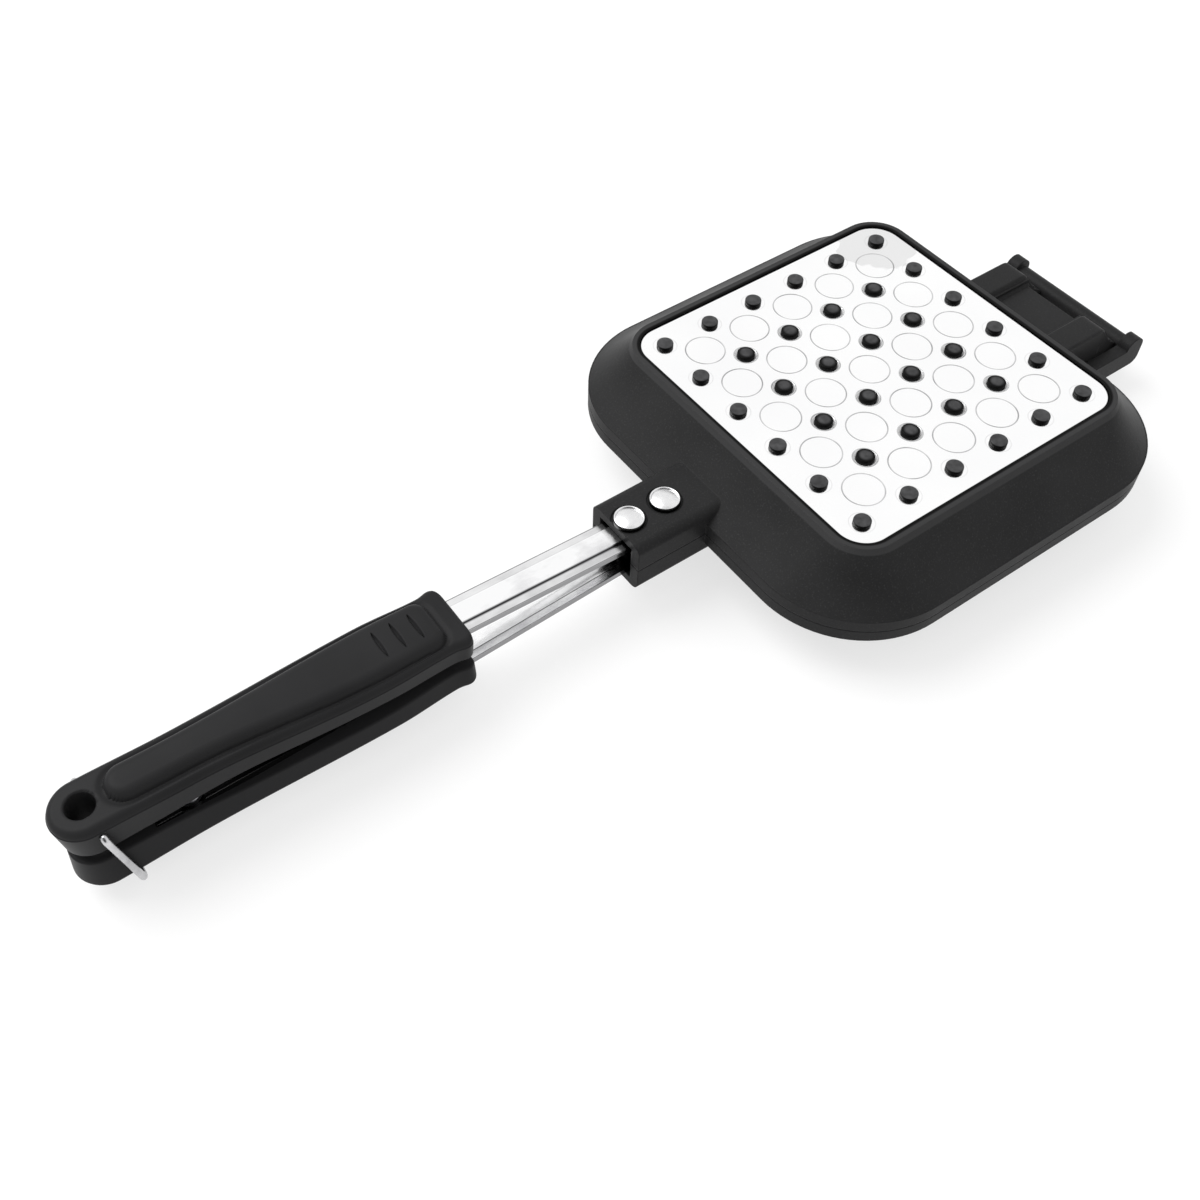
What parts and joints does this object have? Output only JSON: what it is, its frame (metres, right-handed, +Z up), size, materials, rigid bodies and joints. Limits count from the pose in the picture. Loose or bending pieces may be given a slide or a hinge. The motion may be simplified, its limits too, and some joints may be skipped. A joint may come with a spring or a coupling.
{
  "type": "pie iron",
  "caption": "Double-sided hot sandwich iron: two square cast pans with studded steel plates, a claw hinge, long riveted handles and a wire latch.",
  "frame": {"origin": "centre of the closed iron's bounding box, on the plane it rests on: the tops of the lower studs", "axes": "+X from the grips towards the hinge, +Y across, +Z up"},
  "size_m": [0.3739, 0.144, 0.0406],
  "materials": {
    "cast_coat": "cast aluminium under a satin black non-stick coat",
    "plate_steel": "bright pressed stainless plate",
    "arm_steel": "mirror-polished stainless strip",
    "rivet_steel": "satin",
    "grip_resin": "black phenolic resin, satin",
    "insert_brass": "turned",
    "screw_steel": "plated",
    "wire_steel": "drawn stainless wire"
  },
  "bodies": {
    "lower": {"lower_pan": "cast_coat", "lower_heat_plate": "plate_steel", "lower_arm": "arm_steel", "lower_front_rivet": "rivet_steel", "lower_rear_rivet": "rivet_steel", "lower_grip": "grip_resin", "lower_front_insert": "insert_brass", "lower_rear_insert": "insert_brass", "lower_front_screw": "screw_steel", "lower_rear_screw": "screw_steel"},
    "upper": {"upper_pan": "cast_coat", "upper_heat_plate": "plate_steel", "upper_arm": "arm_steel", "upper_front_rivet": "rivet_steel", "upper_rear_rivet": "rivet_steel", "upper_grip": "grip_resin", "upper_front_insert": "insert_brass", "upper_rear_insert": "insert_brass", "upper_front_screw": "screw_steel", "upper_rear_screw": "screw_steel"},
    "latch": {"wire_latch": "wire_steel"}
  },
  "joints": [
    {"name": "pan_hinge", "type": "hinge", "parent": "lower", "child": "upper", "pos_m": [0.1832, 0, 0.0145], "axis": [0, 1, 0], "range_deg": [0, 110]},
    {"name": "latch_swing", "type": "hinge", "parent": "upper", "child": "latch", "pos_m": [-0.1767, 0, 0.0303], "axis": [0, 1, 0], "range_deg": [0, 260]}
  ]
}
